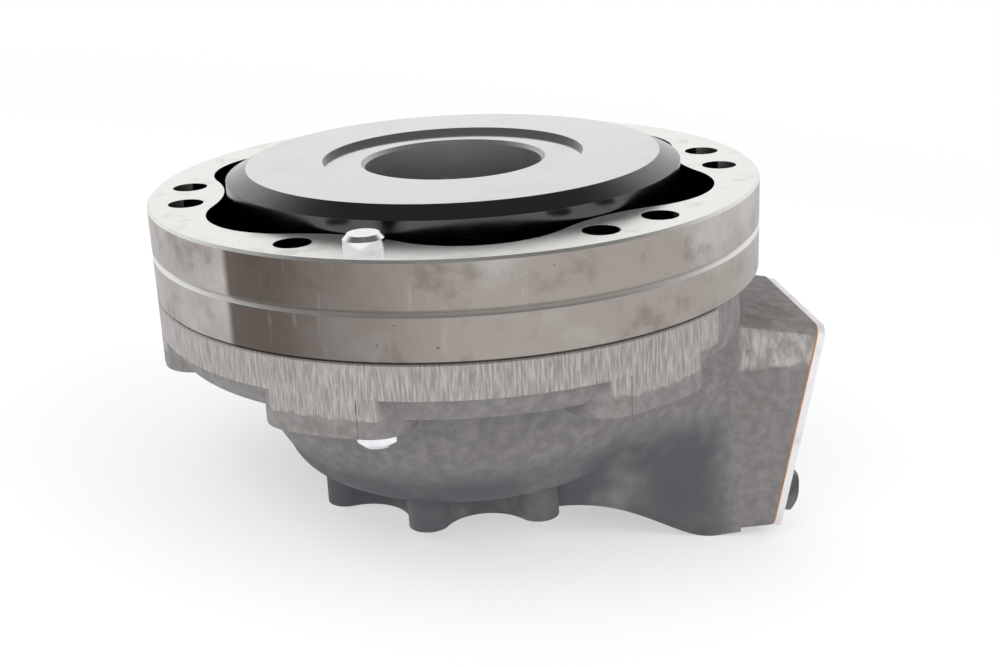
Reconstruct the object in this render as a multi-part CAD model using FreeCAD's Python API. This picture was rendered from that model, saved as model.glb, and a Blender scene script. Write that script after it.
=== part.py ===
import FreeCAD, Part
import math
import os

# Rear half of a radial-piston drive motor for a crawler track: two stacked cam rings on a cast
# valving cover, a cylinder block with eight roller pistons, and the distributor that feeds them.
# Millimetres. The origin is the centre of the upper ring's mating face, +Z points out of that
# face along the motor's axis, and +X points at the port block.
# The pistons are drawn fully retracted, as in free-wheeling, so the block can turn freely.

Vector = FreeCAD.Vector
up = Vector(0, 0, 1)
origin = Vector(0, 0, 0)

# Cam rings
ring_radius = 120.0
ring_height = 18.0
ring_chamfer = 1.0
groove_chamfer = 1.7
cam_lobes = 6
cam_crest_radius = 90.5
cam_pocket_radius = 104.9
cam_pocket_curve = 38.0

# Bolts through the rings and the cover, in six pairs
bolt_circle_radius = 105.4
bolt_pairs = 6
bolt_half_angle = 7.5
bolt_hole_radius = 6.75
pin_angle = -112.5
pin_radius = 7.2
pin_seat_radius = 7.5
pin_proud_top = 5.4
pin_proud_bottom = 7.0
pin_chamfer = 1.6
pin_fit = 0.02

# Face seals
seal_circle_radius = 115.4
seal_groove_width = 2.3
seal_groove_depth = 1.85
seal_gap = 0.05

# Cylinder block
pistons = 8
first_piston_angle = -90.0
block_radius = 89.5
block_top = 9.2
block_chamfer_height = 3.9
block_chamfer_width = 8.0
block_recess_radius = 51.5
block_recess_depth = 2.0
block_running_gap = 0.3
bore_radius = 35.0
bore_chamfer = 1.5
plain_bore_length = 16.0
spline_teeth = 34
spline_depth = 2.0
piston_bore_bottom = 42.5
slot_floor = 61.0
slot_width = 28.3
oil_hole_circle_radius = 46.0
oil_hole_radius = 3.5

# Pistons and rollers
piston_radius = 15.0
piston_fit = 0.05
piston_bottom_gap = 0.5
piston_hollow_radius = 8.0
piston_hollow_depth = 9.0
roller_radius = 13.75
roller_length = 34.8
roller_end_gap = 0.3
roller_centre_radius = 75.0
roller_fit = 0.06
roller_chamfer = 0.9
roller_dish_radius = 6.8
roller_dish_depth = 0.5
centre_drill_radius = 1.3
cradle_wrap = 3.0
ring_groove_start = 2.0
ring_groove_width = 2.0
ring_groove_depth = 1.2
piston_ring_fit = 0.04

# Valving cover: flange
ground_band_height = 13.0
ledge_height = 9.0
ledge_inset = 2.0
ledge_taper = 4.0
boss_height = 5.5
boss_radius = 14.4
flange_trim_radius = 113.0
flange_trim_angle = 45.0

# Valving cover: bowl
neck_radius = 92.0
neck_drop = 8.0
neck_hollow = 1.5
bowl_waist_radius = 84.5
bowl_waist_drop = 21.0
bowl_belly_bulge = 2.6
bowl_shoulder_radius = 74.5
bowl_shoulder_drop = 52.0
bowl_foot_radius = 60.0
bowl_foot_drop = 64.0
bowl_foot_bulge = 3.0

# Valving cover: scalloped foot with a tapped hole in each lobe
foot_bottom_z = -125.5
foot_lobes = 8
foot_valley_radius = 48.0
foot_lobe_reach = 64.5
foot_lobe_curve = 8.0
foot_height = 22.0
foot_hole_radius = 3.4
foot_hole_depth = 14.0

# Port block, leaning outward at the top
port_tilt = 11.5
port_half_width = 38.0
port_top_start = 101.0
port_top_start_z = -55.0
port_top_length = 38.5
port_face_height = 90.0
port_bottom_z = -150.5
port_foot_start = 97.0
port_corner_radius = 6.0
port_hole_radius = 11.0
port_hole_depth = 26.0
port_hole_spacing = 40.0
port_passage_radius = 7.0
port_dent_depth = 1.4
port_dent_radius = 10.0
port_dent_along = 21.0
port_dent_y = -24.0
port_pad_root = 4.0
port_pad_step = 14.0
ridge_top_x = 100.0
ridge_low_x = 108.0
web_angle = 58.0
web_hollow_share = 0.12
web_ridge_inset = 0.8
web_levels = [(-46.0, 83.0), (-84.0, 82.0), (-101.0, 74.0), (-112.0, 62.0), (-121.0, 57.0), (-152.0, 57.0)]
web_foot_x = 22.0
web_foot_rise = 0.5
web_foot_pull = 40.0
web_pad_pull = 18.0
gasket_thickness = 1.0
gasket_inset = 0.6
plate_thickness = 3.0
plate_bolt_offset = 24.0
plate_bolt_spacing = 62.0
plate_bolt_radius = 5.0
plate_bolt_length = 20.0
plate_bolt_hex = 16.0
plate_bolt_head_height = 6.4
plate_bolt_fit = 0.05

# Distributor, in a stepped bore
step_radii = [62.0, 52.0, 42.0]
step_depths = [18.0, 38.0, 56.0]
distributor_fit = 0.06
distributor_bore_radius = 12.5
distributor_end_gap = 3.0
distributor_ports = 12
gallery_radius_gain = 3.0
gallery_width = 7.0
gallery_above_step = 7.0
gallery_drill_radius = 2.8
port_sump = 1.0
step_seal_below = 3.0
step_seal_width = 2.4
step_seal_depth = 1.8
step_seal_gap = 0.05
distributor_pin_radius = 3.0
distributor_pin_length = 12.0
distributor_pin_circle_radius = 57.0
distributor_pin_angle = 180.0
distributor_pin_end_gap = 1.0
disc_spring_inner = 26.0
disc_spring_outer = 38.0
disc_spring_thickness = 1.4
disc_spring_lean = 0.6

# End cap
end_bore_radius = 27.0
cap_radius = 32.0
cap_fit = 0.05
cap_thickness = 7.0
cap_bottom_gap = 3.5
cap_dish_radius = 14.0
cap_dish_depth = 3.0
cap_seal_width = 2.5
cap_seal_depth = 1.8
circlip_thickness = 1.5
circlip_depth = 1.4
circlip_width = 5.0
circlip_gap_angle = 30.0

# Case drain plug, on the side away from the pistons' load
drain_z = -78.0
drain_boss_radius = 13.0
drain_boss_reach = 92.0
drain_hole_radius = 7.0
drain_plug_fit = 0.05
drain_plug_length = 12.0
drain_plug_hex = 19.0
drain_plug_head = 8.0
drain_washer_radius = 11.5
drain_washer_thickness = 1.5

ring_split_z = -ring_height
ring_bottom_z = -2 * ring_height
roller_middle_z = -roller_end_gap * 2 - roller_length / 2
slot_roof_z = roller_middle_z + roller_length / 2 + roller_end_gap
block_bottom_z = ring_bottom_z + block_running_gap
band_z = ring_bottom_z - ground_band_height
ledge_z = band_z - ledge_height
boss_z = ledge_z - boss_height
cavity_floor_z = ring_bottom_z - step_depths[2]


def disc(radius, low, high, x=0.0, y=0.0):
    return Part.makeCylinder(radius, high - low, Vector(x, y, low))


def tube(inner, outer, low, high):
    return disc(outer, low, high).cut(disc(inner, low - 1, high + 1))


def polar(radius, angle, z=0.0):
    turn = math.radians(angle)
    return Vector(radius * math.cos(turn), radius * math.sin(turn), z)


def turned(shape, angle):
    copy = shape.copy()
    copy.rotate(origin, up, angle)
    return copy


def revolved(edges):
    face = Part.Face(Part.Wire(edges))
    return face.revolve(origin, up, 360)


def revolved_polygon(points):
    corners = [Vector(radius, 0, z) for radius, z in points]
    face = Part.Face(Part.makePolygon(corners + [corners[0]]))
    return face.revolve(origin, up, 360)


def hexagon_prism(across_flats, height):
    corner = across_flats / math.sqrt(3)
    points = [polar(corner, 60 * side) for side in range(7)]
    return Part.Face(Part.makePolygon(points)).extrude(Vector(0, 0, height))


def bolt_angles():
    angles = []
    for pair in range(bolt_pairs):
        middle = pair * 360.0 / bolt_pairs
        angles += [middle - bolt_half_angle, middle + bolt_half_angle]
    return angles


def is_pin_angle(angle):
    return abs((angle - pin_angle + 180) % 360 - 180) < 1


def piston_angles():
    return [first_piston_angle + step * 360.0 / pistons for step in range(pistons)]


def through_holes(low, high):
    holes = []
    for angle in bolt_angles():
        radius = bolt_hole_radius
        if is_pin_angle(angle):
            radius = pin_seat_radius + pin_fit
        place = polar(bolt_circle_radius, angle)
        holes.append(disc(radius, low, high, place.x, place.y))
    return Part.makeCompound(holes)


def seal_groove(face_z):
    inner = seal_circle_radius - seal_groove_width / 2
    outer = seal_circle_radius + seal_groove_width / 2
    return tube(inner, outer, face_z - seal_groove_depth, face_z + 1)


def face_seal(face_z):
    inner = seal_circle_radius - seal_groove_width / 2 + seal_gap
    outer = seal_circle_radius + seal_groove_width / 2 - seal_gap
    return tube(inner, outer, face_z - seal_groove_depth + seal_gap, face_z)


def scalloped(lobes, near_radius, far_radius, far_curve, low, high):
    """A prism whose outline is a wave of arcs about the axis, tangent where they meet."""
    step = 180.0 / lobes
    half = math.radians(step)
    far_centre = far_radius - far_curve
    offset = near_radius - far_centre * math.cos(half)
    rise = far_centre * math.sin(half)
    near_curve = (offset ** 2 + rise ** 2 - far_curve ** 2) / (2 * (far_curve - offset))
    near_centre = near_radius + near_curve
    share = near_curve / (near_curve + far_curve)
    edges = []
    for lobe in range(lobes):
        turn = 2 * step * lobe
        near = polar(near_centre, turn, low)
        before = polar(far_centre, turn - step, low)
        after = polar(far_centre, turn + step, low)
        next_near = polar(near_centre, turn + 2 * step, low)
        start = near + (before - near) * share
        end = near + (after - near) * share
        next_start = next_near + (after - next_near) * share
        edges.append(Part.Arc(start, polar(near_radius, turn, low), end).toShape())
        edges.append(Part.Arc(end, polar(far_radius, turn + step, low), next_start).toShape())
    return Part.Face(Part.Wire(edges)).extrude(Vector(0, 0, high - low))


def cam_prism(low, high):
    return scalloped(cam_lobes, cam_crest_radius, cam_pocket_radius, cam_pocket_curve, low, high)


def cam_ring(top, top_chamfer, bottom_chamfer, with_groove):
    bottom = top - ring_height
    ring = revolved_polygon([
        (0, bottom),
        (ring_radius - bottom_chamfer, bottom),
        (ring_radius, bottom + bottom_chamfer),
        (ring_radius, top - top_chamfer),
        (ring_radius - top_chamfer, top),
        (0, top),
    ])
    ring = ring.cut(cam_prism(bottom - 1, top + 1))
    ring = ring.cut(through_holes(bottom - 1, top + 1))
    if with_groove:
        ring = ring.cut(seal_groove(top))
    return ring


def locating_pin():
    place = polar(bolt_circle_radius, pin_angle)
    low = boss_z - pin_proud_bottom
    pin = revolved_polygon([
        (0, low),
        (pin_seat_radius - pin_chamfer, low),
        (pin_seat_radius, low + pin_chamfer),
        (pin_seat_radius, 0),
        (pin_radius, 0),
        (pin_radius, pin_proud_top - pin_chamfer),
        (pin_radius - pin_chamfer, pin_proud_top),
        (0, pin_proud_top),
    ])
    pin.translate(place)
    return pin


def spline_grooves():
    root = bore_radius
    tip = bore_radius - spline_depth
    pitch = 360.0 / spline_teeth
    top = block_top - block_recess_depth - plain_bore_length
    length = top - block_bottom_z + 1
    grooves = []
    for tooth in range(spline_teeth):
        middle = tooth * pitch
        corners = [
            polar(tip - 0.5, middle - 0.32 * pitch, block_bottom_z - 1),
            polar(root, middle - 0.2 * pitch, block_bottom_z - 1),
            polar(root, middle + 0.2 * pitch, block_bottom_z - 1),
            polar(tip - 0.5, middle + 0.32 * pitch, block_bottom_z - 1),
        ]
        outline = Part.makePolygon(corners + [corners[0]])
        grooves.append(Part.Face(outline).extrude(Vector(0, 0, length)))
    return Part.makeCompound(grooves)


def cylinder_block():
    recess_z = block_top - block_recess_depth
    spline_top = recess_z - plain_bore_length
    tip = bore_radius - spline_depth
    block = revolved_polygon([
        (tip, block_bottom_z),
        (block_radius, block_bottom_z),
        (block_radius, block_top - block_chamfer_height),
        (block_radius - block_chamfer_width, block_top),
        (block_recess_radius, block_top),
        (block_recess_radius, recess_z),
        (bore_radius + bore_chamfer, recess_z),
        (bore_radius, recess_z - bore_chamfer),
        (bore_radius, spline_top),
        (tip, spline_top - spline_depth),
    ])
    block = block.cut(spline_grooves())
    cuts = []
    for angle in piston_angles():
        reach = block_radius + 5 - piston_bore_bottom
        bore_start = Vector(piston_bore_bottom, 0, roller_middle_z)
        bore = Part.makeCylinder(piston_radius + piston_fit, reach, bore_start, Vector(1, 0, 0))
        slot_corner = Vector(slot_floor, -slot_width / 2, block_bottom_z - 1)
        slot_height = slot_roof_z - block_bottom_z + 1
        slot = Part.makeBox(block_radius + 5 - slot_floor, slot_width, slot_height, slot_corner)
        oil_hole = disc(oil_hole_radius, block_bottom_z - 1, roller_middle_z, oil_hole_circle_radius)
        cuts.append(turned(bore.fuse([slot, oil_hole]), angle))
    return block.cut(Part.makeCompound(cuts))


def piston():
    start = piston_bore_bottom + piston_bottom_gap
    length = roller_centre_radius + cradle_wrap - start
    outward = Vector(1, 0, 0)
    body = Part.makeCylinder(piston_radius, length, Vector(start, 0, roller_middle_z), outward)
    cradle_low = roller_middle_z - roller_length
    cradle = disc(roller_radius + roller_fit, cradle_low, cradle_low + 2 * roller_length, roller_centre_radius)
    hollow_start = Vector(start - 1, 0, roller_middle_z)
    hollow = Part.makeCylinder(piston_hollow_radius, piston_hollow_depth + 1, hollow_start, outward)
    return body.cut([cradle, hollow, ring_space(0.0)])


def ring_space(gap):
    start = piston_bore_bottom + piston_bottom_gap + ring_groove_start + gap
    width = ring_groove_width - 2 * gap
    place = Vector(start, 0, roller_middle_z)
    outward = Vector(1, 0, 0)
    outer = Part.makeCylinder(piston_radius + piston_fit - gap / 2, width, place, outward)
    inner_radius = piston_radius - ring_groove_depth + gap
    inner = Part.makeCylinder(inner_radius, width, place, outward)
    return outer.cut(inner)


def roller():
    low = roller_middle_z - roller_length / 2
    high = roller_middle_z + roller_length / 2
    body = revolved_polygon([
        (0, low + roller_dish_depth),
        (roller_dish_radius, low + roller_dish_depth),
        (roller_dish_radius + roller_dish_depth, low),
        (roller_radius - roller_chamfer, low),
        (roller_radius, low + roller_chamfer),
        (roller_radius, high - roller_chamfer),
        (roller_radius - roller_chamfer, high),
        (roller_dish_radius + roller_dish_depth, high),
        (roller_dish_radius, high - roller_dish_depth),
        (centre_drill_radius, high - roller_dish_depth),
        (0, high - roller_dish_depth - centre_drill_radius * 1.7),
    ])
    body.translate(Vector(roller_centre_radius, 0, 0))
    return body


def bulged(start, end, bulge):
    """An arc that stands off the line from start to end by the bulge."""
    side = (end - start).cross(Vector(0, 1, 0))
    side.normalize()
    return Part.Arc(start, (start + end) * 0.5 + side * bulge, end).toShape()


def bowl():
    neck = Vector(neck_radius, 0, band_z - neck_drop)
    waist = Vector(bowl_waist_radius, 0, band_z - bowl_waist_drop)
    shoulder = Vector(bowl_shoulder_radius, 0, band_z - bowl_shoulder_drop)
    foot = Vector(bowl_foot_radius, 0, band_z - bowl_foot_drop)
    top = Vector(0, 0, band_z + 1)
    neck_top = Vector(neck_radius, 0, band_z + 1)
    return revolved([
        Part.makeLine(top, neck_top),
        Part.makeLine(neck_top, neck),
        bulged(neck, waist, -neck_hollow),
        bulged(waist, shoulder, bowl_belly_bulge),
        bulged(shoulder, foot, bowl_foot_bulge),
        Part.makeLine(foot, Vector(0, 0, foot.z)),
        Part.makeLine(Vector(0, 0, foot.z), top),
    ])


def foot():
    top = foot_bottom_z + foot_height
    return scalloped(foot_lobes, foot_valley_radius, foot_lobe_reach, foot_lobe_curve, foot_bottom_z, top)


def flange():
    plate = revolved_polygon([
        (0, ledge_z),
        (ring_radius - ledge_inset - ledge_taper, ledge_z),
        (ring_radius - ledge_inset, band_z),
        (ring_radius, band_z),
        (ring_radius, ring_bottom_z - 0.5),
        (ring_radius - 0.5, ring_bottom_z),
        (0, ring_bottom_z),
    ])
    bosses = []
    for angle in bolt_angles():
        place = polar(bolt_circle_radius, angle)
        bosses.append(disc(boss_radius, boss_z, band_z + 1, place.x, place.y))
    for pair in range(bolt_pairs):
        reach = bolt_circle_radius * math.sin(math.radians(bolt_half_angle))
        middle = bolt_circle_radius * math.cos(math.radians(bolt_half_angle))
        corner = Vector(middle - boss_radius, -reach, boss_z)
        bridge = Part.makeBox(ring_radius - middle + boss_radius, 2 * reach, band_z + 1 - boss_z, corner)
        bosses.append(turned(bridge, pair * 360.0 / bolt_pairs))
    merged = bosses[0].multiFuse(bosses[1:])
    merged = merged.common(disc(ring_radius, boss_z - 1, ring_bottom_z))
    plate = plate.fuse(merged)
    trim = tube(flange_trim_radius, ring_radius + 5, boss_z - 1, ring_bottom_z + 1)
    reach = ring_radius * 2
    sector = Part.makePolygon([
        Vector(0, 0, boss_z - 1),
        polar(reach, -flange_trim_angle, boss_z - 1),
        polar(reach, flange_trim_angle, boss_z - 1),
        Vector(0, 0, boss_z - 1),
    ])
    sector = Part.Face(sector).extrude(Vector(0, 0, 2 * ring_radius))
    return plate.cut(trim.common(sector))


def port_face_frame():
    """Corner of the port face's top edge, its down direction and its outward normal."""
    tilt = math.radians(port_tilt)
    top_x = port_top_start + port_top_length * math.cos(tilt)
    top_z = port_top_start_z - port_top_length * math.sin(tilt)
    down = Vector(-math.sin(tilt), 0, -math.cos(tilt))
    outward = Vector(math.cos(tilt), 0, -math.sin(tilt))
    return Vector(top_x, 0, top_z), down, outward


def on_port_face(shape):
    """Carries a shape drawn about Z onto the port face: X to +Y, Y up the face, Z outward."""
    corner, down, outward = port_face_frame()
    middle = corner + down * (port_face_height / 2)
    turn = FreeCAD.Rotation(Vector(0, 1, 0), down * -1, outward, "ZXY")
    placed = shape.copy()
    placed.Placement = FreeCAD.Placement(middle, turn).multiply(placed.Placement)
    return placed


def port_panel(inset, low, thickness):
    width = 2 * (port_half_width - inset)
    height = port_face_height - 2 * inset
    corner = Vector(-width / 2, -height / 2, low)
    panel = Part.makeBox(width, height, thickness, corner)
    upright = [edge for edge in panel.Edges if edge.BoundBox.ZLength > thickness / 2]
    return panel.makeFillet(port_corner_radius - inset, upright)


def plate_bolt_places():
    half = plate_bolt_spacing / 2
    return [(-plate_bolt_offset, -half), (plate_bolt_offset, half)]


def plate_bolt_holes(radius, low, high):
    return Part.makeCompound([disc(radius, low, high, x, y) for x, y in plate_bolt_places()])


def pad_corners(inner_x):
    """The pad's top line at inner_x, its outer top corner and its outer bottom corner."""
    corner, _, outward = port_face_frame()
    start = corner - outward * ((corner.x - inner_x) / outward.x)
    low_x = corner.x + (port_bottom_z - corner.z) * math.tan(math.radians(port_tilt))
    return start, corner, Vector(low_x, 0, port_bottom_z)


def port_pad():
    """The rectangular pad itself: tilted top and port face, flat bottom, rounded corners."""
    root_x = ridge_top_x - port_pad_root
    start, corner, low_outer = pad_corners(root_x)
    low_inner = Vector(port_foot_start, 0, port_bottom_z)
    points = [start, corner, low_outer, low_inner, Vector(root_x, 0, port_bottom_z + port_pad_step), start]
    face = Part.Face(Part.makePolygon(points))
    face.translate(Vector(0, -port_half_width, 0))
    pad = face.extrude(Vector(0, 2 * port_half_width, 0))
    long_edges = []
    for edge in pad.Edges:
        box = edge.BoundBox
        on_side = box.YLength < 0.01
        along_top = on_side and abs(box.ZMax - start.z) < 0.01 and box.XMax > corner.x - 0.01
        along_bottom = on_side and box.ZLength < 0.01 and box.ZMax < port_bottom_z + 0.01
        if along_top or along_bottom:
            long_edges.append(edge)
    return pad.makeFillet(port_corner_radius, long_edges)


def port_dent():
    """The ball that leaves a shallow dish in the pad's sloping top."""
    ball_radius = (port_dent_radius ** 2 + port_dent_depth ** 2) / (2 * port_dent_depth)
    corner, down, outward = port_face_frame()
    place = corner - outward * (port_top_length - port_dent_along)
    centre = place - down * (ball_radius - port_dent_depth)
    return Part.makeSphere(ball_radius, centre + Vector(0, port_dent_y, 0))


def web_section(z, radius):
    share = min(1.0, (web_levels[0][0] - z) / (web_levels[0][0] - web_levels[1][0]))
    ridge_x = ridge_top_x + (ridge_low_x - ridge_top_x) * share
    near = polar(radius, -web_angle, z)
    far = polar(radius, web_angle, z)
    ridge_near = Vector(ridge_x, web_ridge_inset - port_half_width, z)
    ridge_far = Vector(ridge_x, port_half_width - web_ridge_inset, z)
    chord = ridge_near - near
    inward = Vector(-chord.y, chord.x, 0)
    inward.normalize()
    hollow = web_hollow_share * (ridge_near.y - near.y)
    middle_near = (near + ridge_near) * 0.5 + inward * hollow
    middle_far = Vector(middle_near.x, -middle_near.y, z)
    start_near = Vector(0, near.y, z)
    start_far = Vector(0, far.y, z)
    return Part.Wire([
        Part.makeLine(start_near, near),
        Part.Arc(near, middle_near, ridge_near).toShape(),
        Part.makeLine(ridge_near, ridge_far),
        Part.Arc(ridge_far, middle_far, far).toShape(),
        Part.makeLine(far, start_far),
        Part.makeLine(start_far, start_near),
    ])


def web():
    """The concave walls that flare from the bowl out to the pad's edges."""
    sections = [web_section(z, radius) for z, radius in web_levels]
    flare = Part.makeLoft(sections, True, True)
    start, corner, low_outer = pad_corners(web_foot_x)
    low_inner = Vector(port_foot_start, 0, port_bottom_z)
    root = Vector(web_foot_x, 0, foot_bottom_z + web_foot_rise)
    curve = Part.BezierCurve()
    curve.setPoles([
        low_inner,
        low_inner - Vector(web_pad_pull, 0, 0),
        root + Vector(web_foot_pull, 0, 0),
        root,
    ])
    side = [
        Part.makeLine(start, corner),
        Part.makeLine(corner, low_outer),
        Part.makeLine(low_outer, low_inner),
        curve.toShape(),
        Part.makeLine(root, start),
    ]
    face = Part.Face(Part.Wire(side))
    face.translate(Vector(0, -ring_radius, 0))
    return flare.common(face.extrude(Vector(0, 2 * ring_radius, 0)))


def drill(start, end, radius):
    direction = end - start
    return Part.makeCylinder(radius, direction.Length, start, direction)


def gallery_z(step):
    return ring_bottom_z - step_depths[step] + gallery_above_step


def port_passages():
    """Two ports in the pad's face, each with a bore and a passage on to its gallery."""
    bores = []
    _, _, outward = port_face_frame()
    for side, step in ((1, 0), (-1, 1)):
        local = disc(port_hole_radius, -port_hole_depth, 1, 0, side * port_hole_spacing / 2)
        bore = on_port_face(local)
        bottom = bore.CenterOfMass - outward * ((port_hole_depth - 1) / 2 - 2)
        target = Vector(step_radii[step] - 2, 0, gallery_z(step))
        bores += [bore, drill(bottom, target, port_passage_radius)]
    return bores


def stepped_bore():
    cuts = []
    top = ring_bottom_z + 1
    for radius, depth in zip(step_radii, step_depths):
        cuts.append(disc(radius, ring_bottom_z - depth, top))
    for step in (0, 1):
        low = gallery_z(step) - gallery_width / 2
        cuts.append(disc(step_radii[step] + gallery_radius_gain, low, low + gallery_width))
    cap_low = foot_bottom_z - 1
    cap_seat = foot_bottom_z + cap_bottom_gap + cap_thickness
    cuts.append(disc(end_bore_radius, cap_low, top))
    cuts.append(disc(cap_radius, cap_low, cap_seat))
    circlip_z = foot_bottom_z + cap_bottom_gap - circlip_thickness
    cuts.append(disc(cap_radius + circlip_depth, circlip_z, circlip_z + circlip_thickness))
    return cuts


def foot_holes():
    holes = []
    for lobe in range(foot_lobes):
        place = polar(foot_lobe_reach - foot_lobe_curve, (lobe + 0.5) * 360.0 / foot_lobes)
        high = foot_bottom_z + foot_hole_depth
        holes.append(disc(foot_hole_radius, foot_bottom_z - 1, high, place.x, place.y))
    return holes


def distributor_pin_hole(low, high):
    place = polar(distributor_pin_circle_radius, distributor_pin_angle)
    return disc(distributor_pin_radius + distributor_fit, low, high, place.x, place.y)


def drain_boss():
    start = Vector(0, bowl_shoulder_radius - 10, drain_z)
    length = drain_boss_reach - start.y
    return Part.makeCylinder(drain_boss_radius, length, start, Vector(0, 1, 0))


def valving_cover():
    cover = bowl().multiFuse([flange(), foot(), port_pad(), web(), drain_boss()])
    cuts = stepped_bore() + port_passages() + foot_holes()
    cuts.append(through_holes(boss_z - 1, ring_bottom_z + 1))
    cuts.append(seal_groove(ring_bottom_z))
    cuts.append(on_port_face(plate_bolt_holes(plate_bolt_radius + plate_bolt_fit, -plate_bolt_length, 1)))
    cuts.append(port_dent())
    hole_start = Vector(0, step_radii[1] - 4, drain_z)
    hole_length = drain_boss_reach + 1 - hole_start.y
    cuts.append(Part.makeCylinder(drain_hole_radius, hole_length, hole_start, Vector(0, 1, 0)))
    step_floor = ring_bottom_z - step_depths[0]
    cuts.append(distributor_pin_hole(step_floor - distributor_pin_length / 2, step_floor + 1))
    for cut in cuts:
        cover = cover.cut(cut)
    return cover.removeSplitter()


def distributor():
    radii = [radius - distributor_fit for radius in step_radii]
    steps = [ring_bottom_z - depth + distributor_end_gap for depth in step_depths]
    body = revolved_polygon([
        (distributor_bore_radius, steps[2]),
        (radii[2], steps[2]),
        (radii[2], steps[1]),
        (radii[1], steps[1]),
        (radii[1], steps[0]),
        (radii[0], steps[0]),
        (radii[0], ring_bottom_z),
        (distributor_bore_radius, ring_bottom_z),
    ])
    cuts = [seal_space(step, 0.0) for step in range(3)]
    for port in range(distributor_ports):
        angle = (port + 0.5) * 360.0 / distributor_ports
        step = port % 2
        low = gallery_z(step) - gallery_drill_radius - port_sump
        upright = disc(oil_hole_radius, low, ring_bottom_z + 1, oil_hole_circle_radius)
        start = Vector(oil_hole_circle_radius, 0, gallery_z(step))
        outward = drill(start, Vector(step_radii[step] + 1, 0, start.z), gallery_drill_radius)
        cuts.append(turned(upright.fuse(outward), angle))
    step_floor = ring_bottom_z - step_depths[0]
    cuts.append(distributor_pin_hole(step_floor, step_floor + distributor_pin_length / 2 + distributor_pin_end_gap))
    return body.cut(cuts)


def seal_space(step, gap):
    """The ring of space that the seal on each of the distributor's steps fills."""
    shoulder_z = ring_bottom_z
    if step:
        shoulder_z -= step_depths[step - 1]
    top = shoulder_z - step_seal_below
    inner = step_radii[step] - step_seal_depth + gap
    return tube(inner, step_radii[step] - gap, top - step_seal_width + gap, top - gap)


def distributor_pin():
    place = polar(distributor_pin_circle_radius, distributor_pin_angle)
    low = ring_bottom_z - step_depths[0] - distributor_pin_length / 2
    return disc(distributor_pin_radius, low, low + distributor_pin_length, place.x, place.y)


def disc_spring():
    low = cavity_floor_z
    high = cavity_floor_z + distributor_end_gap
    return revolved_polygon([
        (disc_spring_outer, low),
        (disc_spring_outer + disc_spring_lean, low + disc_spring_thickness),
        (disc_spring_inner + disc_spring_lean, high),
        (disc_spring_inner, high - disc_spring_thickness),
    ])


def end_cap():
    low = foot_bottom_z + cap_bottom_gap
    radius = cap_radius - cap_fit
    cap = revolved_polygon([
        (0, low + cap_dish_depth),
        (cap_dish_radius - cap_dish_depth, low + cap_dish_depth),
        (cap_dish_radius, low),
        (radius, low),
        (radius, low + cap_thickness),
        (0, low + cap_thickness),
    ])
    return cap.cut(cap_seal_space(0.0))


def cap_seal_space(gap):
    low = foot_bottom_z + cap_bottom_gap + (cap_thickness - cap_seal_width) / 2
    return tube(cap_radius - cap_seal_depth + gap, cap_radius - gap, low + gap, low + cap_seal_width - gap)


def end_cap_circlip():
    high = foot_bottom_z + cap_bottom_gap
    outer = cap_radius + circlip_depth - cap_fit
    ring = tube(outer - circlip_width, outer, high - circlip_thickness + cap_fit, high)
    reach = 2 * cap_radius
    half = circlip_gap_angle / 2
    corners = [Vector(0, 0, foot_bottom_z), polar(reach, 180 - half, foot_bottom_z)]
    corners += [polar(reach, 180 + half, foot_bottom_z), Vector(0, 0, foot_bottom_z)]
    opening = Part.Face(Part.makePolygon(corners)).extrude(Vector(0, 0, 2 * cap_thickness))
    return ring.cut(opening)


def port_gasket():
    panel = port_panel(gasket_inset, 0, gasket_thickness)
    holes = [plate_bolt_holes(plate_bolt_radius + plate_bolt_fit, -1, gasket_thickness + 1)]
    for side in (-1, 1):
        holes.append(disc(port_hole_radius + 1, -1, gasket_thickness + 1, 0, side * port_hole_spacing / 2))
    return on_port_face(panel.cut(holes))


def port_plate():
    panel = port_panel(gasket_inset, gasket_thickness, plate_thickness)
    high = gasket_thickness + plate_thickness
    return on_port_face(panel.cut(plate_bolt_holes(plate_bolt_radius + plate_bolt_fit, -1, high + 1)))


def port_plate_bolts():
    under_head = gasket_thickness + plate_thickness
    bolts = []
    for x, y in plate_bolt_places():
        shank = disc(plate_bolt_radius, 2 - plate_bolt_length, under_head, x, y)
        head = hexagon_prism(plate_bolt_hex, plate_bolt_head_height)
        corner = plate_bolt_hex / math.sqrt(3)
        crown = Part.makeCone(corner + plate_bolt_head_height * 2, corner * 0.9, plate_bolt_head_height)
        head = head.common(crown)
        head.translate(Vector(x, y, under_head))
        bolts.append(shank.fuse(head).removeSplitter())
    return on_port_face(Part.makeCompound(bolts))


def drain_washer():
    outward = Vector(0, 1, 0)
    start = Vector(0, drain_boss_reach, drain_z)
    outer = Part.makeCylinder(drain_washer_radius, drain_washer_thickness, start, outward)
    inner_radius = drain_hole_radius + drain_plug_fit
    return outer.cut(Part.makeCylinder(inner_radius, drain_washer_thickness, start, outward))


def drain_plug():
    head_start = drain_boss_reach + drain_washer_thickness
    head = hexagon_prism(drain_plug_hex, drain_plug_head)
    shank = disc(drain_hole_radius - drain_plug_fit, -drain_plug_length - drain_washer_thickness, 0)
    plug = head.fuse(shank).removeSplitter()
    plug.rotate(origin, Vector(1, 0, 0), -90)
    plug.translate(Vector(0, head_start, drain_z))
    return plug


def save(name, shape):
    shape.exportStep("parts/" + name + ".step")


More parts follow.
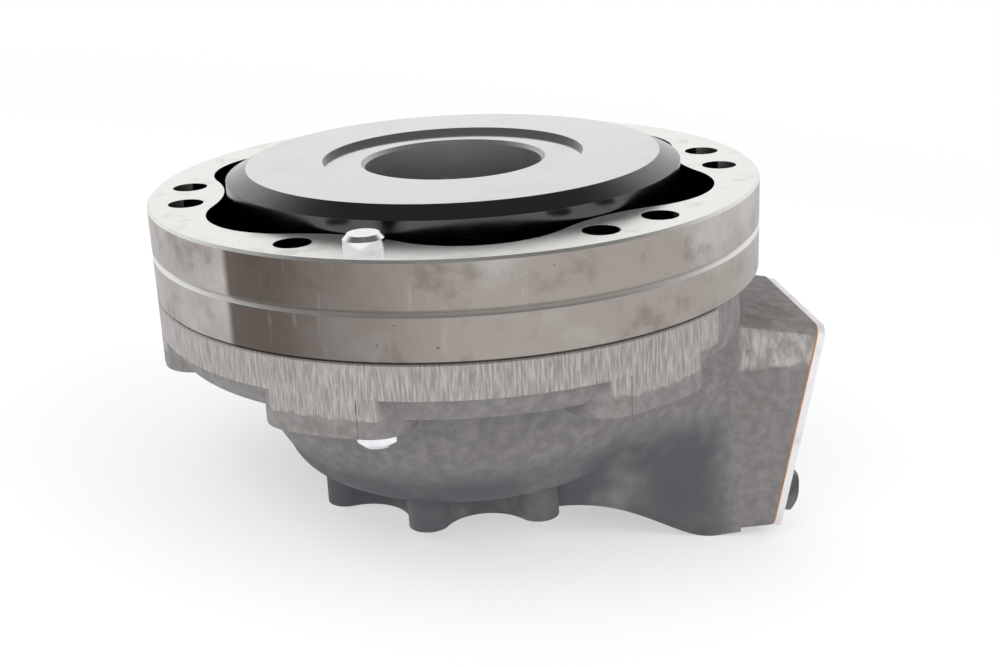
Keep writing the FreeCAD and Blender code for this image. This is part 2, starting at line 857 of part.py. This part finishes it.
def main():
    os.makedirs("parts", exist_ok=True)
    save("upper_cam_ring", cam_ring(0.0, ring_chamfer, ring_chamfer, False))
    save("lower_cam_ring", cam_ring(ring_split_z, groove_chamfer, ring_chamfer, True))
    save("ring_seal", face_seal(ring_split_z))
    save("cover_seal", face_seal(ring_bottom_z))
    save("locating_pin", locating_pin())
    save("valving_cover", valving_cover())
    save("distributor", distributor())
    save("distributor_pin", distributor_pin())
    save("distributor_spring", disc_spring())
    for step, name in enumerate(["upper", "middle", "lower"]):
        save("distributor_seal_" + name, seal_space(step, step_seal_gap))
    save("end_cap", end_cap())
    save("end_cap_seal", cap_seal_space(step_seal_gap))
    save("end_cap_circlip", end_cap_circlip())
    save("port_gasket", port_gasket())
    save("port_plate", port_plate())
    save("port_plate_bolts", port_plate_bolts())
    save("drain_plug", drain_plug())
    save("drain_plug_washer", drain_washer())
    save("cylinder_block", cylinder_block())
    for number, angle in enumerate(piston_angles(), start=1):
        save("piston_%d" % number, turned(piston(), angle))
        save("piston_ring_%d" % number, turned(ring_space(piston_ring_fit), angle))
        save("roller_%d" % number, turned(roller(), angle))


main()
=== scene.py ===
import math

import bmesh
import bpy
from mathutils import Matrix, Vector


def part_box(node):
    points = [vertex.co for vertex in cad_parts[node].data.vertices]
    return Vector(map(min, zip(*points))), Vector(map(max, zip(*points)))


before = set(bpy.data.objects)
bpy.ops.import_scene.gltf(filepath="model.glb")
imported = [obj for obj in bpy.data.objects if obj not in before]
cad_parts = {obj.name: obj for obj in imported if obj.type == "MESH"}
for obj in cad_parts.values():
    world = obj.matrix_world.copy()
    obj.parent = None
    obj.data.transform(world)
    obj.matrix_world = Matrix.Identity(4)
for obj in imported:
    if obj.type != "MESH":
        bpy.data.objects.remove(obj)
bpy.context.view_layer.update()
print("frame loaded,", len(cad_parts), "CAD nodes")


def addNode(tree, kind, inputs=None, **settings):
    node = tree.nodes.new(kind)
    for name, value in settings.items():
        setattr(node, name, value)
    for socket, value in (inputs or {}).items():
        if isinstance(value, bpy.types.NodeSocket):
            tree.links.new(value, node.inputs[socket])
        else:
            node.inputs[socket].default_value = value
    return node


def maths(tree, operation, first, second=0.0):
    return addNode(tree, "ShaderNodeMath", {0: first, 1: second}, operation=operation).outputs[0]


def fade(tree, value, low, high, start=0.0, end=1.0):
    node = addNode(tree, "ShaderNodeMapRange", {0: value, 1: low, 2: high, 3: start, 4: end},
                   interpolation_type="SMOOTHSTEP")
    return node.outputs[0]


def noise(tree, vector, scale, detail=4.0, roughness=0.55):
    node = addNode(tree, "ShaderNodeTexNoise",
                   {"Vector": vector, "Scale": scale, "Detail": detail, "Roughness": roughness})
    return node.outputs[0]


def mixColours(tree, factor, first, second, blend="MIX"):
    node = addNode(tree, "ShaderNodeMix", {0: factor, 6: first, 7: second},
                   data_type="RGBA", blend_type=blend)
    return node.outputs[2]


def rgb(red, green, blue):
    return (red, green, blue, 1.0)


def newGroup(name, inputs, outputs):
    tree = bpy.data.node_groups.new(name, "ShaderNodeTree")
    for label, kind, value in inputs:
        socket = tree.interface.new_socket(label, in_out="INPUT", socket_type=kind)
        if kind == "NodeSocketFloat":
            socket.default_value = value
    for label, kind in outputs:
        tree.interface.new_socket(label, in_out="OUTPUT", socket_type=kind)
    return tree, tree.nodes.new("NodeGroupInput").outputs, tree.nodes.new("NodeGroupOutput").inputs


# Where a point lies about the motor's axis, and how far its face looks up
def axisPlaceGroup():
    tree, given, made = newGroup(
        "axisPlace",
        [("Position", "NodeSocketVector", None), ("Normal", "NodeSocketVector", None)],
        [("Radius", "NodeSocketFloat"), ("Angle", "NodeSocketFloat"),
         ("Height", "NodeSocketFloat"), ("Upward", "NodeSocketFloat"),
         ("Outward", "NodeSocketFloat")])
    place = addNode(tree, "ShaderNodeSeparateXYZ", {0: given["Position"]}).outputs
    flat = addNode(tree, "ShaderNodeCombineXYZ", {0: place[0], 1: place[1]}).outputs[0]
    length = addNode(tree, "ShaderNodeVectorMath", {0: flat}, operation="LENGTH").outputs[1]
    facing = addNode(tree, "ShaderNodeSeparateXYZ", {0: given["Normal"]}).outputs
    ray = addNode(tree, "ShaderNodeVectorMath", {0: flat}, operation="NORMALIZE").outputs[0]
    away = addNode(tree, "ShaderNodeVectorMath", {0: ray, 1: given["Normal"]},
                   operation="DOT_PRODUCT").outputs[1]
    tree.links.new(length, made["Radius"])
    tree.links.new(maths(tree, "ARCTAN2", place[1], place[0]), made["Angle"])
    tree.links.new(place[2], made["Height"])
    tree.links.new(facing[2], made["Upward"])
    tree.links.new(away, made["Outward"])
    return tree


# Blotches of stain or oil
def blotchGroup():
    tree, given, made = newGroup(
        "blotches",
        [("Position", "NodeSocketVector", None), ("Scale", "NodeSocketFloat", 60.0),
         ("Start", "NodeSocketFloat", 0.5), ("Full", "NodeSocketFloat", 0.65)],
        [("Mask", "NodeSocketFloat")])
    value = noise(tree, given["Position"], given["Scale"], 6.0, 0.6)
    tree.links.new(fade(tree, value, given["Start"], given["Full"]), made["Mask"])
    return tree


# Fine scratches that run along the axis on a round wall
def scratchGroup():
    tree, given, made = newGroup(
        "axialScratches",
        [("Angle", "NodeSocketFloat", 0.0), ("Height", "NodeSocketFloat", 0.0),
         ("Around", "NodeSocketFloat", 240.0), ("Along", "NodeSocketFloat", 60.0)],
        [("Mask", "NodeSocketFloat")])
    around = maths(tree, "MULTIPLY", given["Angle"], given["Around"])
    along = maths(tree, "MULTIPLY", given["Height"], given["Along"])
    where = addNode(tree, "ShaderNodeCombineXYZ", {0: around, 1: along}).outputs[0]
    tree.links.new(noise(tree, where, 1.0, 3.0, 0.6), made["Mask"])
    return tree


# Grain of a sand casting, fine pits over broader lumps
def castGrainGroup():
    tree, given, made = newGroup(
        "castGrain",
        [("Position", "NodeSocketVector", None), ("Fine", "NodeSocketFloat", 1100.0),
         ("Broad", "NodeSocketFloat", 160.0)],
        [("Height", "NodeSocketFloat"), ("Mottle", "NodeSocketFloat")])
    fine = noise(tree, given["Position"], given["Fine"], 3.0, 0.6)
    broad = noise(tree, given["Position"], given["Broad"], 5.0, 0.6)
    lumps = maths(tree, "ADD", maths(tree, "MULTIPLY", fine, 0.5), broad)
    tree.links.new(lumps, made["Height"])
    tree.links.new(broad, made["Mottle"])
    return tree


axisPlace = axisPlaceGroup()
blotches = blotchGroup()
axialScratches = scratchGroup()
castGrain = castGrainGroup()
print("shared shader groups built")


def startMaterial(name):
    material = bpy.data.materials.new(name)
    material.use_nodes = True
    tree = material.node_tree
    shader = tree.nodes["Principled BSDF"]
    coordinates = tree.nodes.new("ShaderNodeTexCoord").outputs
    return material, tree, shader, coordinates["Object"], coordinates["Normal"]


def useGroup(tree, group, inputs):
    node = tree.nodes.new("ShaderNodeGroup")
    node.node_tree = group
    for socket, value in inputs.items():
        if isinstance(value, bpy.types.NodeSocket):
            tree.links.new(value, node.inputs[socket])
        else:
            node.inputs[socket].default_value = value
    return node.outputs


def blotchMask(tree, position, scale, start, full):
    return useGroup(tree, blotches, {"Position": position, "Scale": scale,
                                     "Start": start, "Full": full})["Mask"]


def scratchMask(tree, where, around, along):
    return useGroup(tree, axialScratches, {"Angle": where["Angle"], "Height": where["Height"],
                                           "Around": around, "Along": along})["Mask"]


def bump(tree, shader, height, strength, distance):
    node = addNode(tree, "ShaderNodeBump",
                   {"Height": height, "Strength": strength, "Distance": distance})
    tree.links.new(node.outputs[0], shader.inputs["Normal"])


def times(tree, first, second):
    return maths(tree, "MULTIPLY", first, second)


ringLook = {
    "face": rgb(0.80, 0.80, 0.77),
    "faceStain": rgb(0.60, 0.58, 0.52),
    "side": rgb(0.36, 0.325, 0.295),
    "sideDark": rgb(0.145, 0.12, 0.098),
    "sidePale": rgb(0.50, 0.47, 0.45),
    # painted dark reflection for a sharp-edged sector of the ring's side
    "paintedDarkReflection": rgb(0.088, 0.070, 0.056),
    "speck": rgb(0.07, 0.055, 0.045),
    # the cam track is painted near black: painted shade down in the pockets
    "paintedShadeCamTrack": rgb(0.06, 0.06, 0.055),
    "faceRoughness": 0.2,
    "sideRoughness": 0.36,
    "trackRoughness": 0.16,
    "bevelRadius": 0.1175,  # the bright chamfers lie beyond this
    "trackRadius": 0.1062,  # the cam track lies inside this
    "clouds": 14.0,  # scale of the broad stains
    "patches": 70.0,
    "specks": 420.0,
    "paintedDarkReflectionFrom": -2.41,  # angles about the axis of the sector that gets the painted dark reflection
    "paintedDarkReflectionTo": -1.55,
    "turningMarks": 14000.0,
}


def ringSteel():
    look = ringLook
    material, tree, shader, position, normal = startMaterial("stainedRingSteel")
    where = useGroup(tree, axisPlace, {"Position": position, "Normal": normal})
    top = fade(tree, where["Upward"], 0.8, 0.95)
    bevel = times(tree, fade(tree, where["Upward"], 0.3, 0.5),
                  fade(tree, where["Radius"], look["bevelRadius"], look["bevelRadius"] + 0.0007))
    track = fade(tree, where["Radius"], look["trackRadius"], look["trackRadius"] - 0.0004)
    track = times(tree, track, fade(tree, where["Upward"], 0.5, 0.3))
    clouds = blotchMask(tree, position, look["clouds"], 0.44, 0.62)
    patches = blotchMask(tree, position, look["patches"], 0.5, 0.72)
    specks = blotchMask(tree, position, look["specks"], 0.68, 0.74)
    scuffs = scratchMask(tree, where, 26.0, 30.0)
    # Painted dark reflection: a sharp-edged sector of the side is darkened as if it mirrored
    # something dark
    paintedReflectionSector = fade(tree, where["Angle"], look["paintedDarkReflectionFrom"], look["paintedDarkReflectionFrom"] + 0.035)
    paintedReflectionSector = times(tree, paintedReflectionSector, fade(tree, where["Angle"], look["paintedDarkReflectionTo"], look["paintedDarkReflectionTo"] - 0.7))
    colour = mixColours(tree, clouds, look["side"], look["sidePale"])
    colour = mixColours(tree, times(tree, patches, 0.45), colour, look["sideDark"])
    colour = mixColours(tree, times(tree, paintedReflectionSector, 0.92), colour, look["paintedDarkReflection"])
    colour = mixColours(tree, times(tree, fade(tree, scuffs, 0.55, 0.8), 0.3), colour,
                        look["sidePale"])
    colour = mixColours(tree, times(tree, specks, 0.8), colour, look["speck"])
    faceColour = mixColours(tree, times(tree, patches, 0.55), look["face"], look["faceStain"])
    # painted shade: the cam track in the pockets turns near black
    colour = mixColours(tree, track, colour, look["paintedShadeCamTrack"])
    colour = mixColours(tree, top, colour, faceColour)
    colour = mixColours(tree, bevel, colour, look["face"])
    tree.links.new(colour, shader.inputs["Base Color"])
    rough = fade(tree, top, 0.0, 1.0, look["sideRoughness"], look["faceRoughness"])
    rough = maths(tree, "ADD", rough, times(tree, patches, 0.08))
    rough = maths(tree, "SUBTRACT", rough,
                  times(tree, track, look["sideRoughness"] - look["trackRoughness"]))
    tree.links.new(rough, shader.inputs["Roughness"])
    shader.inputs["Metallic"].default_value = 1.0
    turning = maths(tree, "SINE", times(tree, where["Height"], look["turningMarks"]))
    fine = noise(tree, position, 700.0, 3.0)
    relief = maths(tree, "ADD", times(tree, turning, 0.12), fine)
    bump(tree, shader, relief, 0.22, 0.0001)
    return material


castLook = {
    "cast": rgb(0.168, 0.158, 0.150),
    "castPale": rgb(0.235, 0.222, 0.212),
    # painted shade: cool dark for the lower bowl, bosses and foot
    "low": rgb(0.082, 0.084, 0.092),
    "ground": rgb(0.46, 0.44, 0.42),
    "groundDark": rgb(0.27, 0.25, 0.235),
    "machined": rgb(0.42, 0.41, 0.40),
    "rust": rgb(0.16, 0.115, 0.085),
    "bandLow": 0.0210,  # the ground band ends this far below the flange's top
    "bandRadius": 0.1184,
    "padBandLow": 0.0165,  # and the port block's this far below its gasket's top
    "raggedness": 0.006,
    "roughness": 0.62,
    "groundRoughness": 0.42,
    "groundShine": 0.75,
}


def castIron():
    look = castLook
    material, tree, shader, position, normal = startMaterial("coolGreyCastIron")
    coverLow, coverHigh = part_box("valving_cover")
    padLow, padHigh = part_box("port_gasket")
    where = useGroup(tree, axisPlace, {"Position": position, "Normal": normal})
    corner = addNode(tree, "ShaderNodeSeparateXYZ", {0: position}).outputs
    grain = useGroup(tree, castGrain, {"Position": position, "Fine": 1500.0, "Broad": 210.0})
    scratches = scratchMask(tree, where, 150.0, 110.0)
    ragged = times(tree, maths(tree, "SUBTRACT", noise(tree, position, 230.0, 4.0), 0.5),
                   look["raggedness"])
    height = maths(tree, "ADD", where["Height"], ragged)
    bandFloor = coverHigh.z - look["bandLow"]
    onBand = fade(tree, where["Radius"], look["bandRadius"], look["bandRadius"] + 0.0006)
    onBand = times(tree, onBand, fade(tree, height, bandFloor, bandFloor + 0.0012))
    padFloor = padHigh.z - look["padBandLow"]
    sideways = maths(tree, "ABSOLUTE", corner[1])
    onPad = times(tree, fade(tree, height, padFloor, padFloor + 0.002),
                  fade(tree, sideways, padHigh.y + 0.0002, padHigh.y + 0.0004))
    onPad = times(tree, onPad, fade(tree, corner[0], padLow.x - 0.0155, padLow.x - 0.0125))
    ground = maths(tree, "MAXIMUM", onBand, onPad)
    # Painted highlight: a lighter streak along the near ridge of the web beside the port block
    paintedRidgeHighlight = times(tree, fade(tree, corner[0], padLow.x - 0.020, padLow.x - 0.016),
                 fade(tree, corner[0], padLow.x - 0.0105, padLow.x - 0.0135))
    paintedRidgeHighlight = times(tree, paintedRidgeHighlight, fade(tree, noise(tree, position, 330.0, 4.0), 0.38, 0.6))
    paintedRidgeHighlight = times(tree, paintedRidgeHighlight, fade(tree, sideways, padHigh.y - 0.0005, padHigh.y))
    mottle = fade(tree, grain["Mottle"], 0.35, 0.7)
    colour = mixColours(tree, mottle, look["cast"], look["castPale"])
    # Painted shade: darker and bluer towards the foot, broken up by noise, away from the port block
    paintedUnderShade = fade(tree, where["Height"], coverHigh.z - 0.050, coverLow.z + 0.045)
    shade = noise(tree, position, 32.0, 3.0)
    paintedUnderShade = times(tree, paintedUnderShade, fade(tree, shade, 0.2, 0.55))
    inner = fade(tree, corner[0], padLow.x - 0.010, padLow.x - 0.030)
    colour = mixColours(tree, times(tree, paintedUnderShade, inner), colour, look["low"])
    # painted highlight along the ridge
    colour = mixColours(tree, times(tree, paintedRidgeHighlight, 0.7), colour, look["castPale"])
    groundColour = mixColours(tree, fade(tree, scratches, 0.35, 0.7),
                              look["groundDark"], look["ground"])
    colour = mixColours(tree, ground, colour, groundColour)
    bore = times(tree, fade(tree, where["Radius"], 0.106, 0.105),
                 fade(tree, where["Outward"], -0.3, -0.6))
    top = fade(tree, where["Upward"], 0.9, 0.97)
    top = times(tree, top,
                fade(tree, where["Height"], coverHigh.z - 0.0015, coverHigh.z - 0.0005))
    foot = times(tree, fade(tree, where["Upward"], -0.95, -0.99),
                 fade(tree, where["Radius"], 0.068, 0.066))
    machined = maths(tree, "MAXIMUM", maths(tree, "MAXIMUM", top, foot), bore)
    colour = mixColours(tree, machined, colour, look["machined"])
    stain = blotchMask(tree, position, 95.0, 0.62, 0.72)
    colour = mixColours(tree, times(tree, stain, 0.35), colour, look["rust"])
    tree.links.new(colour, shader.inputs["Base Color"])
    bright = maths(tree, "MAXIMUM", ground, machined)
    tree.links.new(times(tree, bright, look["groundShine"]), shader.inputs["Metallic"])
    rough = fade(tree, bright, 0.0, 1.0, look["roughness"], look["groundRoughness"])
    tree.links.new(rough, shader.inputs["Roughness"])
    grainHeight = times(tree, grain["Height"], fade(tree, bright, 0.0, 1.0, 1.0, 0.25))
    relief = maths(tree, "ADD", grainHeight, times(tree, scratches, times(tree, ground, 0.8)))
    bump(tree, shader, relief, 0.55, 0.0006)
    return material


blockLook = {
    "face": rgb(0.62, 0.62, 0.62),
    # painted dark reflection: the sides are the top face's steel darkened
    "side": rgb(0.11, 0.11, 0.112),
    "bore": rgb(0.50, 0.49, 0.48),
    "film": rgb(0.45, 0.44, 0.42),
    "boreRadius": 0.045,
    "turningMarks": 9000.0,
    "faceRoughness": 0.09,
    "sideRoughness": 0.17,
}


def paintedDarkSidesOiledBlock():
    look = blockLook
    material, tree, shader, position, normal = startMaterial("paintedDarkSidesOiledBlockSteel")
    where = useGroup(tree, axisPlace, {"Position": position, "Normal": normal})
    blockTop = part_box("cylinder_block")[1].z
    top = fade(tree, where["Upward"], 0.93, 0.985)
    top = times(tree, top, fade(tree, where["Height"], blockTop - 0.004, blockTop - 0.003))
    film = blotchMask(tree, position, 40.0, 0.45, 0.7)
    face = mixColours(tree, times(tree, film, 0.16), look["face"], look["film"])
    inside = times(tree, fade(tree, where["Outward"], -0.3, -0.6),
                   fade(tree, where["Radius"], look["boreRadius"], look["boreRadius"] - 0.003))
    # Painted dark reflection on the sides; the bore keeps its lighter machined colour
    side = mixColours(tree, inside, look["side"], look["bore"])
    tree.links.new(mixColours(tree, top, side, face), shader.inputs["Base Color"])
    rough = fade(tree, top, 0.0, 1.0, look["sideRoughness"], look["faceRoughness"])
    rough = maths(tree, "ADD", rough, times(tree, inside, 0.25))
    tree.links.new(maths(tree, "ADD", rough, times(tree, film, 0.05)), shader.inputs["Roughness"])
    shader.inputs["Metallic"].default_value = 1.0
    turning = maths(tree, "SINE", times(tree, where["Radius"], look["turningMarks"]))
    relief = maths(tree, "ADD", times(tree, turning, 0.1), noise(tree, position, 120.0))
    bump(tree, shader, relief, 0.06, 0.0002)
    return material


# Each finish: clean colour, worn colour, roughness, metallic, grain scale, strength of the bump
plainLooks = {
    "brightPin": (rgb(0.88, 0.88, 0.89), rgb(0.70, 0.70, 0.71), 0.16, 1.0, 500.0, 0.08),
    "groundRoller": (rgb(0.46, 0.45, 0.43), rgb(0.25, 0.24, 0.22), 0.14, 1.0, 260.0, 0.06),
    "oiledPiston": (rgb(0.34, 0.34, 0.34), rgb(0.18, 0.18, 0.17), 0.2, 1.0, 320.0, 0.08),
    "darkIron": (rgb(0.12, 0.12, 0.12), rgb(0.07, 0.07, 0.07), 0.28, 1.0, 400.0, 0.15),
    "turnedCap": (rgb(0.38, 0.38, 0.38), rgb(0.26, 0.25, 0.24), 0.3, 1.0, 500.0, 0.12),
    "blackenedSpring": (rgb(0.10, 0.10, 0.11), rgb(0.05, 0.05, 0.055), 0.32, 1.0, 600.0, 0.1),
    "blackenedBolt": (rgb(0.17, 0.17, 0.175), rgb(0.085, 0.085, 0.09), 0.38, 1.0, 420.0, 0.2),
    "palePlate": (rgb(0.78, 0.76, 0.76), rgb(0.62, 0.60, 0.59), 0.4, 0.35, 300.0, 0.12),
    "softCopper": (rgb(0.62, 0.33, 0.20), rgb(0.42, 0.23, 0.14), 0.34, 1.0, 500.0, 0.12),
    "gasketFibre": (rgb(0.46, 0.22, 0.085), rgb(0.31, 0.145, 0.06), 0.8, 0.0, 900.0, 0.4),
    "sealRubber": (rgb(0.022, 0.022, 0.022), rgb(0.035, 0.035, 0.035), 0.6, 0.0, 700.0, 0.2),
}


def wornFinish(name):
    clean, worn, roughness, metallic, grain, strength = plainLooks[name]
    material, tree, shader, position, normal = startMaterial(name)
    mottle = noise(tree, position, grain, 4.0)
    film = blotchMask(tree, position, grain * 0.2, 0.42, 0.7)
    colour = mixColours(tree, film, clean, worn)
    tree.links.new(colour, shader.inputs["Base Color"])
    rough = maths(tree, "ADD", times(tree, mottle, 0.12), roughness - 0.05)
    tree.links.new(rough, shader.inputs["Roughness"])
    shader.inputs["Metallic"].default_value = metallic
    bump(tree, shader, mottle, strength, 0.0002)
    return material


nodeFinishes = {
    "locating_pin": "brightPin",
    "distributor": "darkIron",
    "distributor_pin": "brightPin",
    "distributor_spring": "blackenedSpring",
    "end_cap": "turnedCap",
    "end_cap_circlip": "blackenedSpring",
    "port_gasket": "gasketFibre",
    "port_plate": "palePlate",
    "port_plate_bolts": "blackenedBolt",
    "drain_plug": "blackenedBolt",
    "drain_plug_washer": "softCopper",
}


def dressNodes():
    finishes = {name: wornFinish(name) for name in plainLooks}
    finishes["ring"] = ringSteel()
    finishes["cast"] = castIron()
    finishes["block"] = paintedDarkSidesOiledBlock()
    for name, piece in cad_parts.items():
        finish = nodeFinishes.get(name, "sealRubber")
        if name.endswith("cam_ring"):
            finish = "ring"
        elif name == "valving_cover":
            finish = "cast"
        elif name == "cylinder_block":
            finish = "block"
        elif name.startswith("piston_ring"):
            finish = "darkIron"
        elif name.startswith("piston_"):
            finish = "oiledPiston"
        elif name.startswith("roller_"):
            finish = "groundRoller"
        piece.data.materials.clear()
        piece.data.materials.append(finishes[finish])


dressNodes()
print("finishes given to every CAD node")


floorLook = {
    "size": 40.0,
    "colour": rgb(0.93, 0.94, 0.98),
    "glow": rgb(1.0, 1.0, 1.0),
    "glowShare": 0.5,
    "shadowReach": 0.45,  # the floor shows shadow up to here
    "plainReach": 1.3,  # and is plain white from here on
    "gap": 0.0003,  # keeps the floor clear of what rests on it
}


# The part leans on its port block and the far lobe of its foot, so the floor is tilted to meet both
def restingTilt():
    corners = [vertex.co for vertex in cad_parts["valving_cover"].data.vertices]
    lowest = min(corner.z for corner in corners)
    touch = min((corner for corner in corners if corner.z < lowest + 1e-5),
                key=lambda corner: corner.x)
    slopes = [math.atan2(corner.z - touch.z, touch.x - corner.x)
              for corner in corners if corner.x < touch.x - 0.02]
    return touch, min(slopes)


def makeFloor():
    look = floorLook
    touch, tilt = restingTilt()
    shape = bmesh.new()
    bmesh.ops.create_grid(shape, x_segments=1, y_segments=1, size=look["size"] / 2)
    bmesh.ops.rotate(shape, verts=shape.verts, cent=(0, 0, 0),
                     matrix=Matrix.Rotation(tilt, 3, "Y"))
    bmesh.ops.translate(shape, verts=shape.verts, vec=Vector((touch.x, 0, touch.z - look["gap"])))
    mesh = bpy.data.meshes.new("paleFloor")
    shape.to_mesh(mesh)
    shape.free()
    floor = bpy.data.objects.new("paleFloor", mesh)
    bpy.context.scene.collection.objects.link(floor)
    material = bpy.data.materials.new("paleFloor")
    material.use_nodes = True
    tree = material.node_tree
    tree.nodes.clear()
    diffuse = addNode(tree, "ShaderNodeBsdfDiffuse", {0: look["colour"]})
    glow = addNode(tree, "ShaderNodeEmission", {0: look["glow"], 1: 1.0})
    rays = tree.nodes.new("ShaderNodeLightPath").outputs
    position = tree.nodes.new("ShaderNodeTexCoord").outputs["Object"]
    away = addNode(tree, "ShaderNodeVectorMath", {0: position}, operation="LENGTH").outputs[1]
    share = fade(tree, away, look["shadowReach"], look["plainReach"], look["glowShare"], 1.0)
    seen = maths(tree, "MAXIMUM", rays["Is Camera Ray"], rays["Is Glossy Ray"])
    share = times(tree, share, seen)
    blend = addNode(tree, "ShaderNodeMixShader",
                    {0: share, 1: diffuse.outputs[0], 2: glow.outputs[0]})
    output = tree.nodes.new("ShaderNodeOutputMaterial")
    tree.links.new(blend.outputs[0], output.inputs[0])
    mesh.materials.append(material)


studioLook = {
    "skyLevel": 0.88,
    "horizonEnd": 0.42,  # mirrors see white up to this height of the sky
    "ceilingStart": 0.78,  # and a dark ceiling from this one
    "ceiling": 0.13,
    "zenith": 0.55,  # added straight overhead
    "aim": (0, 0, -0.05),
    "keyPower": 10.0,
    "keySize": 1.1,
    "keyPlace": (-0.75, -0.75, 1.05),
    "fillPower": 4.0,
    "fillSize": 1.2,
    "fillPlace": (1.0, -0.5, 0.7),
}


def makeStudio():
    look = studioLook
    world = bpy.data.worlds.new("softStudio")
    bpy.context.scene.world = world
    world.use_nodes = True
    tree = world.node_tree
    tree.nodes.clear()
    direction = tree.nodes.new("ShaderNodeTexCoord").outputs["Generated"]
    rise = addNode(tree, "ShaderNodeSeparateXYZ", {0: direction}).outputs[2]
    mirror = fade(tree, rise, look["horizonEnd"], look["ceilingStart"], 1.0, look["ceiling"])
    mirror = maths(tree, "ADD", mirror, fade(tree, rise, 0.975, 0.995, 0.0, look["zenith"]))
    rays = tree.nodes.new("ShaderNodeLightPath").outputs
    level = addNode(tree, "ShaderNodeMix",
                    {0: rays["Is Glossy Ray"], 2: look["skyLevel"], 3: mirror}).outputs[0]
    level = addNode(tree, "ShaderNodeMix",
                    {0: rays["Is Camera Ray"], 2: level, 3: 1.0}).outputs[0]
    sky = addNode(tree, "ShaderNodeBackground", {0: rgb(1.0, 1.0, 1.0), 1: level})
    output = tree.nodes.new("ShaderNodeOutputWorld")
    tree.links.new(sky.outputs[0], output.inputs[0])
    target = Vector(look["aim"])
    for name in ("key", "fill"):
        lamp = bpy.data.lights.new(name + "Lamp", "AREA")
        lamp.energy = look[name + "Power"]
        lamp.size = look[name + "Size"]
        holder = bpy.data.objects.new(name + "Lamp", lamp)
        holder.location = look[name + "Place"]
        holder.rotation_euler = (target - holder.location).to_track_quat("-Z", "Y").to_euler()
        holder.visible_glossy = False
        bpy.context.scene.collection.objects.link(holder)


cameraLook = {
    "place": (-0.05337, -0.58640, 0.13472),
    "turn": (71.06, 2.474, -7.552),  # degrees
    "lens": 54.308,
    "sensor": 36.0,
    "nearest": 0.01,
}


def makeCamera():
    look = cameraLook
    data = bpy.data.cameras.new("threeQuarterCamera")
    data.lens = look["lens"]
    data.sensor_width = look["sensor"]
    data.clip_start = look["nearest"]
    camera = bpy.data.objects.new("threeQuarterCamera", data)
    camera.location = look["place"]
    camera.rotation_euler = [math.radians(angle) for angle in look["turn"]]
    bpy.context.scene.collection.objects.link(camera)
    bpy.context.scene.camera = camera


makeFloor()
makeStudio()
makeCamera()
bpy.context.scene.view_settings.view_transform = "Standard"
print("floor, studio and camera placed")
